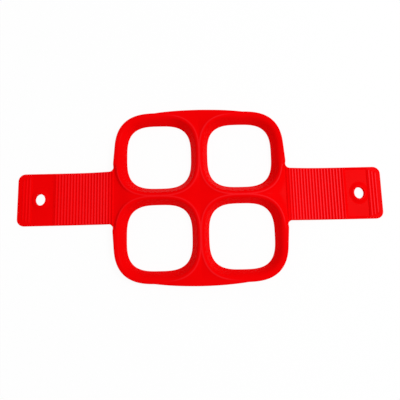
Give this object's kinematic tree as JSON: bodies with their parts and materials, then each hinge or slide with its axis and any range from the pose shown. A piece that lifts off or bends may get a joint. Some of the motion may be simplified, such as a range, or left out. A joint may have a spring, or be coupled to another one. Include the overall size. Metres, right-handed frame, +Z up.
{
  "type": "silicone egg mould",
  "caption": "Soft red silicone egg mould: flared rounded-square cavities open right through, joined by thin webs, with a ribbed strap handle and hanging hole at each end.",
  "frame": {"origin": "middle of the mould on the table that it lies on", "axes": "+X along the straps towards the right handle, +Y to the rear, +Z up out of the cavities"},
  "size_m": [0.379, 0.18, 0.014],
  "materials": {
    "silicone": "satin moulded silicone"
  },
  "bodies": {
    "left_half": {"front_left_ring": "silicone", "rear_left_ring": "silicone", "front_web_left": "silicone", "rear_web_left": "silicone", "centre_web_left": "silicone", "left_root_web": "silicone"},
    "right_half": {"front_right_ring": "silicone", "rear_right_ring": "silicone", "front_web_right": "silicone", "rear_web_right": "silicone", "centre_web_right": "silicone", "right_root_web": "silicone"},
    "left_inner": {"left_grip_inner": "silicone"},
    "left_outer": {"left_grip_outer": "silicone"},
    "left_end": {"left_hang_tab": "silicone", "left_hang_collar": "silicone", "left_tip": "silicone"},
    "right_inner": {"right_grip_inner": "silicone"},
    "right_outer": {"right_grip_outer": "silicone"},
    "right_end": {"right_hang_tab": "silicone", "right_hang_collar": "silicone", "right_tip": "silicone"}
  },
  "joints": [
    {"name": "centre_fold", "type": "hinge", "parent": "left_half", "child": "right_half", "pos_m": [0, 0, 0.014], "axis": [0, -1, 0], "range_deg": [0, 60], "stiffness_Nm_per_rad": 0.08},
    {"name": "left_root_bend", "type": "hinge", "parent": "left_half", "child": "left_inner", "pos_m": [-0.09426, 0, 0.00734], "axis": [0, 1, 0], "range_deg": [0, 30], "stiffness_Nm_per_rad": 0.005},
    {"name": "left_middle_bend", "type": "hinge", "parent": "left_inner", "child": "left_outer", "pos_m": [-0.12282, 0, 0.00308], "axis": [0, 1, 0], "range_deg": [0, 30], "stiffness_Nm_per_rad": 0.005},
    {"name": "left_end_bend", "type": "hinge", "parent": "left_outer", "child": "left_end", "pos_m": [-0.15139, 0, 0.0025], "axis": [0, 1, 0], "range_deg": [0, 30], "stiffness_Nm_per_rad": 0.005},
    {"name": "right_root_bend", "type": "hinge", "parent": "right_half", "child": "right_inner", "pos_m": [0.09426, 0, 0.00734], "axis": [0, -1, 0], "range_deg": [0, 30], "stiffness_Nm_per_rad": 0.005},
    {"name": "right_middle_bend", "type": "hinge", "parent": "right_inner", "child": "right_outer", "pos_m": [0.12282, 0, 0.00308], "axis": [0, -1, 0], "range_deg": [0, 30], "stiffness_Nm_per_rad": 0.005},
    {"name": "right_end_bend", "type": "hinge", "parent": "right_outer", "child": "right_end", "pos_m": [0.15139, 0, 0.0025], "axis": [0, -1, 0], "range_deg": [0, 30], "stiffness_Nm_per_rad": 0.005}
  ],
  "couplings": [
    {"joint": "left_middle_bend", "follows": "left_root_bend", "ratio": 1},
    {"joint": "left_end_bend", "follows": "left_root_bend", "ratio": 1},
    {"joint": "right_middle_bend", "follows": "right_root_bend", "ratio": 1},
    {"joint": "right_end_bend", "follows": "right_root_bend", "ratio": 1}
  ]
}
